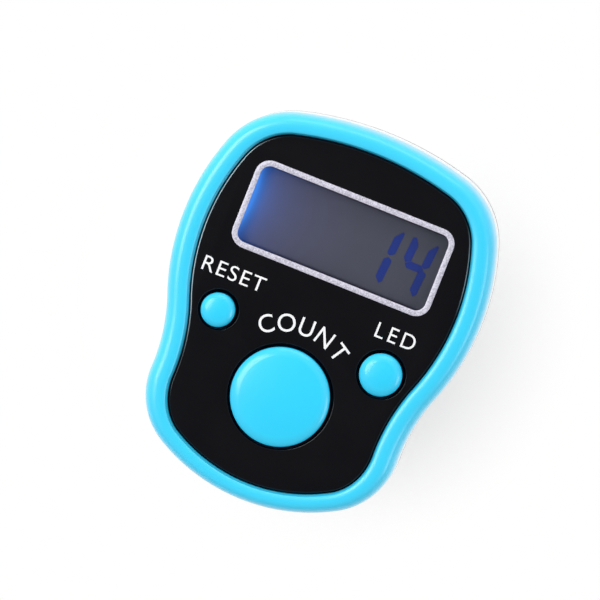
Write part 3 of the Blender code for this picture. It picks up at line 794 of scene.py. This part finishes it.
def back_shell():
    """The white shell: a cup with a rounded back edge and a fine groove round its wall, the
    cell's well behind a door, the strap's two ears and its stud."""
    edge = 0.2 * mm
    rows = [(back_wall, wall, 0), (lip_top - edge, wall, 0), (lip_top, wall - edge / 2, 0)]
    rows += [(lip_top, wall - lip_thickness, 0), (rear_height, wall - lip_thickness, 0)]
    rows += quarter((rear_height, edge, 0), (rear_height - edge, 0, 0), 4, lead=1)
    groove_low, groove_top, groove_depth = 1.6 * mm, 2.15 * mm, 0.35 * mm
    above = 0.06 * mm
    rows += [(groove_top + above, 0, 0), (groove_top, 0, 0), (groove_top, groove_depth, 0)]
    rows += [(groove_low, groove_depth, 0), (groove_low, 0, 0)]
    rows += quarter((back_edge, 0, 0), (0, back_edge, 0), 10)

    ledge_edge = door_radius + fit + ledge_width
    ledge = solid("ledge", stadium_rings([(back_wall - overlap, ledge_edge), (ledge_top, ledge_edge)]))
    inside = solid("ledge_limit", carried([(back_wall / 3, wall / 2, 0), (ceiling, wall / 2, 0)]))
    well = cell_radius + fit
    well_top = board_low - 2 * fit
    joins = [shaped(ledge, limits=[inside])]
    joins.append(pillar("well", well + well_wall, ledge_top - overlap, well_top, cell_centre, 96))

    flare = 0.15 * mm
    mouth = door_radius + fit
    recess = [(-fit, mouth + flare)]
    recess += quarter((0, mouth + flare), (flare, mouth), 4, lead=1) + [(ledge_low, mouth)]
    slot_end = well + well_wall + 2 * fit
    slot_half = 1.6 * mm
    slot_low = (cell_radius, cell_centre[1] - slot_half, ledge_top)
    slot_high = (slot_end, cell_centre[1] + slot_half, board_low)
    cuts = [solid("door_recess", stadium_rings(recess))]
    cuts.append(pillar("well_bore", well, 0, board_low, cell_centre, 96))
    cuts.append(block("slot", slot_low, slot_high))
    for door, case in zip(door_screws, case_screws):
        joins.append(pillar("door_boss", boss_radius, ledge_top - overlap, well_top, door))
        joins.append(pillar("case_boss", boss_radius, back_wall - overlap, board_low - bond, case))
        cuts.append(pillar("door_bore", hole_radius, 0, board_low, door))
        cuts.append(pillar("case_bore", hole_radius, -fit, board_top, case))
        cuts.append(sink("case_sink", case))
    joins += [*ears(), stud_base(), stud()]

    def groove(share, height):
        """Painted shade in the fine groove round the side wall: 1 in the groove, 0 above and below it.
        """
        levels = [groove_low - above, groove_low, groove_top, groove_top + above]
        return between(height, levels) * (share < 0.3)

    shell = shaped(solid("back_shell", carried(rows)), joins, cuts)
    return marked(shell, "recess", groove)


def sink(name, place):
    """The seat of a screw's head, opening out at the surface."""
    radius = screw_head_radius + fit
    edge = 0.12 * mm
    rows = [(radius + edge, -fit)] + quarter((radius + edge, 0), (radius, edge), 4)
    return turned(name, rows + [(radius, screw_head_height + bond)], place, 64)


def ears():
    """Two ears with half round lower ends, each with a bore for the strap's pin. Towards
    its outer face an ear shrinks a little about its middle, to round that face's edge."""
    angle = np.linspace(0, math.pi, 33)
    root = back_wall - overlap
    middle = (pin_z + root) / 2
    x = np.concatenate([[1], np.cos(angle), [-1]]) * knuckle_radius
    z = np.concatenate([[root], pin_z - knuckle_radius * np.sin(angle), [root]]) - middle
    edge = 0.25 * mm
    share = np.array([[1.0], [1.0], [0.965], [0.9]])
    height = middle + z * share
    height[:, [0, -1]] = root
    bore_radius = pin_radius + fit / 2
    made = []
    for side in (-1, 1):
        near = strap_middle + side * (strap_width / 2 + fit)
        far = near + side * ear_thickness
        y = np.array([[near], [far - side * edge], [far - side * edge * 0.3], [far]])
        ends = [(bore_radius, near - side * fit), (bore_radius, far + side * fit)]
        ear = solid("ear", points(pin_x + x * share, y, height))
        made.append(shaped(ear, cuts=[turned_along("ear_bore", ends)]))
    return made


def stud_base():
    """The stud's round foot on the case's back, with a rounded edge."""
    edge = 0.2 * mm
    top = -stud_base_height
    rows = quarter((stud_base_radius, top + edge), (stud_base_radius - edge, top), 4, lead=1)[::-1]
    return turned("stud_base", rows + [(stud_base_radius, back_wall - overlap)], stud_centre, 64)


def stud():
    """A round-tipped stud, which holds the strap's tab."""
    tip = strap_end - strap_thickness - stud_tip
    flat_radius = 0.35 * mm
    rows = quarter((flat_radius, tip), (stud_radius, tip + stud_tip), 8)
    return turned("stud", rows + [(stud_radius, 0)], stud_centre, 64)


def key_cap(name):
    """A key: a flange below the face wall, a round post and a crowned top, which falls
    with the square of the distance from the middle, and a quarter ellipse more near the edge."""
    radius, centre = KEYS[name]
    edge_fall = 0.42 * mm
    crown = min(0.5 * mm, 0.17 * radius)
    edge_width = min(1.0 * mm, 0.36 * radius)
    edge_start = radius - edge_width
    falls = quarter((radius, edge_fall), (edge_start, 0), 15, lead=1)
    falls += [(r, 0) for r in np.linspace(edge_start, 0, 8)[1:]]
    rows = [(0, flange_low), (radius + flange_width, flange_low), (radius + flange_width, flange_top)]
    mark_end = panel_top + 0.4 * mm
    levels = (flange_top, panel_low, panel_top, panel_top + 0.2 * mm, mark_end)
    rows += [(radius, height) for height in levels]
    rows += [(r, button_top - crown * (r / radius) ** 2 - fall) for r, fall in falls]

    def depth(share, height):
        """Painted shade on the key's post: 0 on the key's visible end, 1 from the panel's top down, at
        any share.
        """
        return np.interp(height, [panel_top, mark_end], [1.0, 0.0])

    return marked(turned(name + "_key_cap", rows, centre, 128), "recess", depth)


def rubber_dome(name):
    """A rubber dome: foot, slanted skirt and flat top as a hollow shell of revolution."""
    radius, centre = KEYS[name]
    foot = radius * 0.75
    top = foot * 0.5
    bore = top * 0.4
    high = dome_low + dome_height
    rows = [(foot + dome_wall, dome_low), (foot + dome_wall, dome_low + 0.3 * mm)]
    rows += [(foot, dome_low + 0.34 * mm), (top + 0.08 * mm, high - 0.1 * mm), (top, high)]
    rows += [(bore, high), (bore, high - dome_wall)]
    rows += [(max(top - dome_wall, top * 0.5), high - dome_wall), (foot - dome_wall, dome_low)]
    return turned(name + "_dome_rubber", rows, centre, 64, hollow=True)


def screw(name, place, tip):
    """A small screw with a round-edged head, a cross in it and a threaded shank."""
    edge = 0.15 * mm
    rows = quarter((screw_head_radius - edge, 0), (screw_head_radius, edge), 4)
    rows.append((screw_head_radius, screw_head_height))
    pitch, thread = 0.35 * mm, 0.1 * mm
    levels = np.arange(screw_head_height + bond, tip - screw_radius, pitch / 2)
    rows += [(screw_radius - thread * (i % 2 == 0), height) for i, height in enumerate(levels)]
    rows.append((screw_radius * 0.3, tip))
    arm, half, depth = 0.75 * mm, 0.18 * mm, screw_head_height * 0.6
    cross = []
    for across, along in ((arm, half), (half, arm)):
        low = (place[0] - across, place[1] - along, -fit)
        cross.append(block("cross", low, (place[0] + across, place[1] + along, depth)))
    return shaped(turned(name, rows, place, 48), cuts=cross)


def door_plate():
    """The battery door: a stadium with rounded edges, and its two screws' holes and seats."""
    edge = 0.2 * mm
    rows = [(door_thickness, door_radius)]
    rows += quarter((edge, door_radius), (0, door_radius - edge), 5)
    cuts = []
    for place in door_screws:
        cuts.append(pillar("door_hole", hole_radius, -fit, door_thickness + fit, place))
        cuts.append(sink("door_sink", place))
    return shaped(solid("door_plate", stadium_rings(rows)), cuts=cuts)


def coin_cell():
    """The coin cell: a can with rounded edges and a smaller cap with a seal between."""
    edge = 0.25 * mm
    cap, seal, seal_depth = 5.2 * mm, 0.35 * mm, 0.15 * mm
    cell_top = cell_low + cell_height
    can_top = cell_top - 0.4 * mm
    rows = [(0, cell_low)]
    rows += quarter((cell_radius - edge, cell_low), (cell_radius, cell_low + edge), 5)
    rows += quarter((cell_radius, can_top - edge), (cell_radius - edge, can_top), 5, lead=1)
    rows += [(cap + seal, can_top), (cap + seal, can_top - seal_depth), (cap, can_top - seal_depth)]
    rows += quarter((cap, cell_top - edge), (cap - edge, cell_top), 5, lead=1)
    return turned("coin_cell_can", rows + [(0, cell_top)], cell_centre, 128)


# Strap


def strap_band():
    """The band: a rounded rectangle carried along a path that goes down one side of the
    finger, round under it with two quarter circles and up the other side."""
    leg = finger_width / 2 + strap_thickness / 2
    corner = -finger_depth - strap_thickness / 2 + strap_corner
    bend = np.linspace(0, math.pi / 2, 25)
    turn = np.concatenate([np.zeros(4), bend, bend + math.pi / 2, np.full(4, math.pi)])[:, None]
    down = np.linspace(pin_z, corner, 5)[:-1]
    up = np.linspace(corner, strap_end - strap_thickness / 2, 5)[1:]
    level = np.concatenate([down, np.full(2 * len(bend), corner), up])[:, None]
    side = np.repeat([-1, 1], len(level) // 2)[:, None]
    edge = 0.6 * mm
    along, across = rounded_rectangle(strap_width, strap_thickness, edge, 6)
    reach = strap_corner + across
    x = side * (leg - strap_corner) - reach * np.cos(turn)
    return solid("strap_band", points(x, strap_middle + along, level - reach * np.sin(turn)))


def strap_tab():
    """The tab from above: straight sides and a round end about the hole, with its upper
    and lower edges rounded by quarter circles."""
    root = finger_width / 2 + bond
    angle = np.linspace(-math.pi / 2, math.pi / 2, 33)
    low = strap_end - strap_thickness
    edge = 0.35 * mm
    rows = quarter((low, -edge), (low + edge, 0), 5, lead=1)
    rows += quarter((strap_end - edge, 0), (strap_end, -edge), 5)
    height, margin = columns(rows)
    half = tab_half + margin
    straight = np.full((len(rows), 2), root)
    x = np.hstack([straight, stud_centre[0] + (half - overlap) * np.cos(angle)])
    y = strap_middle + np.hstack([half, -half, half * np.sin(angle)])
    return solid("strap_tab", points(x, y, height))


def strap():
    """Band, knuckle and tab as one soft piece, bored for the pin and for the stud."""
    half = strap_width / 2
    ends = [(pin_radius + fit, strap_middle + side * (half + fit)) for side in (-1, 1)]
    hole = pillar("tab_hole", stud_radius + fit, strap_end - strap_thickness - fit,
                  strap_end + fit, stud_centre, 64)
    knuckle = rounded_bar("knuckle", knuckle_radius, half, 0.35 * mm, 96)
    cuts = [turned_along("pin_bore", ends), hole]
    return shaped(strap_band(), [knuckle, strap_tab()], cuts)


def steel_pin():
    """The strap's pin, with rounded ends."""
    half = strap_width / 2 + fit + ear_thickness - bond
    return rounded_bar("steel_pin", pin_radius, half, 0.2 * mm)


# Print and display


def window_frame():
    """The silver line round the display: its section rises from the outer edge to a low
    crown and falls to the inner edge, carried round a rounded rectangle, which is a little
    lower than the window's own shape."""
    outer_length, inner_length, lowered = 21.68 * mm, 20.52 * mm, 0.992
    outer, inner = (outer_length - window_size[0]) / 2, (inner_length - window_size[0]) / 2
    share = np.linspace(0, 1, 7)
    crown = 0.035 * mm * np.sin(share * math.pi) ** 0.5
    base = panel_top - 0.02 * mm
    rows = [(base, inner), (base, outer)]
    rows += [(panel_top + lift, outer + (inner - outer) * part) for part, lift in zip(share, crown)]
    rings = window_rings(rows)
    top = rings[..., 1].max()
    rings[..., 1] = top - (top - rings[..., 1]) * lowered
    return solid("window_frame", rings, hollow=True)


def lettering(name, words, height, weight, stretch, spacing):
    """Flat printed letters. Each entry is a word, the middle of its base line and its turn
    in degrees; the font's outline gets heavier by the weight, and wider by the stretch."""
    capital_share = 0.73
    depth, lift = 0.012 * mm, 0.008 * mm
    parts = []
    for word, (x, y), turn in words:
        curve = bpy.data.curves.new(name, "FONT")
        curve.body = word
        curve.align_x = "CENTER"
        curve.size = height / capital_share
        curve.offset = weight
        curve.space_character = spacing
        curve.extrude = depth
        mesh = settled(linked(name, curve))
        place = Matrix.Translation(Vector((x, y, face_height + lift)))
        upright = Matrix.Rotation(math.radians(turn), 4, "Z")
        mesh.transform(place @ upright @ Matrix.Diagonal((stretch, 1.0, 1.0, 1.0)))
        parts.append(mesh)
    return placed(name, *parts)


def digit(name, segments, left):
    """A slanted seven-segment digit: each segment is a bar with pointed or slanted ends,
    given by its corners as shares of the digit's width and height."""
    width, height, slant = 2.75 * mm, 5.75 * mm, 0.075
    base = window_centre[1] - 2.93 * mm
    levels = polariser_top + np.array([[0.01], [0.04]]) * mm
    parts = []
    for corners in segments:
        x, y = np.array(corners).T
        y = y * height
        parts.append(skin(name, points(left + x * width + slant * y, base + y, levels)))
    return placed(name, *parts)


# Assembly

dress(rim_shell(), "case", "case_colour", "front_shell")
dress(back_shell(), "case", "case_white", "rear_shell")
dress(panel_sheet(), "case", "panel_black", "face_panel")
dress(window_frame(), "case", "silver_print")
for key in KEYS:
    dress(key_cap(key), key + "_key", "key_colour", key + "_button")
    dome = dress(rubber_dome(key), "case", "dome_rubber", key + "_dome")
    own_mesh(dome)
SCREWS = {"case": (case_screws, case_screw_tip), "door": (door_screws, door_screw_tip)}
for index, side in enumerate(("left", "right")):
    for body, (places, tip) in SCREWS.items():
        made = screw(body + "_screw_steel_" + side, places[index], tip)
        dress(made, body, "screw_steel", body + "_screw_" + side)
dress(door_plate(), "door", "door_white", "battery_door")
dress(coin_cell(), "case", "cell_steel", "coin_cell")
dress(strap(), "strap", "strap_silicone", "finger_strap")
dress(steel_pin(), "case", "pin_steel", "strap_pin")

arc_radius = 6.65 * mm
arc_middle = -0.08 * mm
arc_words = []
for letter, turn in zip("COUNT", (32.0, 16.0, 0.0, -16.0, -32.0)):
    x = arc_middle - arc_radius * math.sin(math.radians(turn))
    y = count_centre[1] + arc_radius * math.cos(math.radians(turn))
    arc_words.append((letter, (x, y), turn))

# Each label's words, and the height, weight, stretch and spacing of its letters
label_weight = -0.006 * mm
LABELS = {
    "reset_word": ([("RESET", (-9.05 * mm, 0.49 * mm), 0.0)], 1.64 * mm, label_weight, 1.055, 1.13),
    "led_word": ([("LED", (8.66 * mm, 0.65 * mm), 0.0)], 1.68 * mm, label_weight, 0.97, 1.27),
    "count_word": (arc_words, 1.93 * mm, 0.0, 0.95, 1.0),
}
for name, sizes in LABELS.items():
    dress(lettering(name, *sizes), "case", "label_ink")

upper_right = [(0.71, 0.56), (0.84, 0.525), (1.0, 0.58), (1.0, 0.98), (0.93, 1.0), (0.71, 0.86)]
lower_right = [(0.84, 0.49), (0.7, 0.44), (0.7, 0.1), (0.9, 0.0), (1.0, 0.05), (1.0, 0.45)]
upper_left = [(-0.02, 0.6), (0.1, 0.52), (0.28, 0.57), (0.28, 0.88), (0.1, 1.0), (-0.02, 0.98)]
middle = [(0.1, 0.5), (0.28, 0.565), (0.7, 0.565), (0.84, 0.5), (0.72, 0.43), (0.24, 0.43)]
DIGITS = {
    "digit_one": ([upper_right, lower_right], 2.45 * mm),
    "digit_four": ([upper_left, middle, upper_right, lower_right], 6.2 * mm),
}
for name, (segments, left) in DIGITS.items():
    dress(digit(name, segments, left), "case", "digit_ink")

NODE_FINISHES = {
    "display_window": "window_clear",
    "front_polariser": "polariser_film",
    "panel_adhesive": "adhesive_film",
    "display_glass": "display_glass",
    "backlight_reflector": "reflector_white",
    "light_guide": "guide_clear",
    "backlight_led": "lamp_blue",
    "display_connector": "connector_rubber",
    "circuit_board": "board_green",
    "controller_blob": "resin_black",
    "led_resistor": "chip_black",
    "supply_capacitor": "chip_brown",
    "negative_contact": "contact_nickel",
    "positive_contact": "contact_nickel",
}
for node, finish in NODE_FINISHES.items():
    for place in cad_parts[node].material_slots:
        place.material = FINISHES[finish]


# Studio


def floor():
    """A pale floor, a wide flat disc below the strap's foot. Away from the object it turns
    to plain white, for the camera and for what mirrors or passes its view, and near the
    object it keeps the shadow."""
    radius, thickness = 2.5, 0.02
    shadow_start, shadow_end = 6 * mm, 27 * mm
    top = -back_height
    rows = [(0, top - thickness), (radius, top - thickness), (radius, top), (0, top)]
    disc = turned("floor", rows, (0.0, 0.0), 64)
    finish = Finish("floor_pale", Roughness=0.7, Specular_IOR_Level=0.1)
    finish.tint(finish.noise(400), (0.945, 0.945, 0.945), (0.96, 0.96, 0.96))
    x, y, z = finish.axes()
    away = finish.math("SQRT", x * x + y * y)
    direct, mirrored, passed = finish.rays()
    seen = finish.math("MAXIMUM", direct, finish.math("MAXIMUM", mirrored, passed))
    share = finish.ramp(away, shadow_start, shadow_end) * seen
    pale = Number(finish, finish.shader.outputs[0])
    glow = finish.node("ShaderNodeEmission", {}, {})
    blend = finish.node("ShaderNodeMixShader", {}, {0: share, 1: pale, 2: glow})
    surface = finish.tree.nodes["Material Output"].inputs["Surface"]
    finish.tree.links.new(blend.link, surface)
    disc.data.materials.append(finish.material)


# The photograph's frame: the case is turned clockwise in it, and the camera stands a
# little towards the display end, at a long lens
roll = math.radians(21.63)
picture_right = Vector((math.cos(roll), math.sin(roll), 0.0))
picture_up = Vector((-math.sin(roll), math.cos(roll), 0.0))
picture_middle = Vector((-1.755 * mm, 1.27 * mm, face_height))
picture_width = 600.0
pixels_per_metre = 9830.0


def towards(right, up, forward):
    """A direction given in the picture: to the right, up, and out towards the camera."""
    return (picture_right * right + picture_up * up + Vector((0, 0, forward))).normalized()


def sky():
    """A studio that is white round about, dim close to straight overhead, so that the dark
    face mirrors little, and dimmer towards the picture's lower side."""
    world = bpy.data.worlds.new("studio")
    bpy.context.scene.world = world
    world.use_nodes = True
    studio = Nodes(world.node_tree)
    way = studio.node("ShaderNodeTexCoord", {}, {}, "Generated")
    level = studio.node("ShaderNodeSeparateXYZ", {}, {"Vector": way}, "Z")
    overhead = studio.ramp(level, 0.76, 0.97)
    settings = {"operation": "DOT_PRODUCT"}
    upward = studio.node("ShaderNodeVectorMath", settings, {0: way, 1: picture_up}, "Value")
    strength = (0.82 - overhead * 0.70) * (0.52 + studio.ramp(upward, -0.9, 0.4) * 0.48)
    direct, mirrored, passed = studio.rays()
    strength = studio.math("MAXIMUM", strength, direct)
    background = studio.tree.nodes["Background"]
    studio.tree.links.new(strength.link, background.inputs["Strength"])
    background.inputs["Color"].default_value = (1.0, 1.0, 1.0, 1.0)


def camera():
    """A long lens that looks at the face from a little off its normal."""
    data = bpy.data.cameras.new("camera")
    data.lens = 500.0
    data.sensor_width = 36.0
    distance = picture_width / pixels_per_metre / data.sensor_width * data.lens
    tilt = math.radians(5.0)
    back = towards(0.8 * math.sin(tilt), 0.6 * math.sin(tilt), math.cos(tilt))
    right = picture_up.cross(back).normalized()
    turn = Matrix((right, back.cross(right), back)).transposed().to_4x4()
    made = linked("camera", data)
    made.matrix_world = Matrix.Translation(picture_middle + back * distance) @ turn
    bpy.context.scene.camera = made


def softbox(name, direction, distance, length, width, power):
    """An area lamp that faces the case from a direction in the picture."""
    data = bpy.data.lights.new(name, "AREA")
    data.shape = "RECTANGLE"
    data.size = length
    data.size_y = width
    data.energy = power
    facing = towards(*direction)
    lamp = linked(name, data)
    lamp.location = Vector((0, 0, back_height)) + facing * distance
    lamp.rotation_euler = facing.to_track_quat("Z", "Y").to_euler()


floor()
sky()
camera()
softbox("key_softbox", (-0.66, 0.43, 1.1), 0.6, 0.38, 0.3, 2.03)
softbox("top_softbox", (0.3, 1.0, 0.5), 0.7, 0.5, 0.3, 0.8)
softbox("side_softbox", (0.9, -0.35, 0.5), 0.7, 0.35, 0.25, 0.9)
bpy.context.scene.view_settings.view_transform = "Standard"
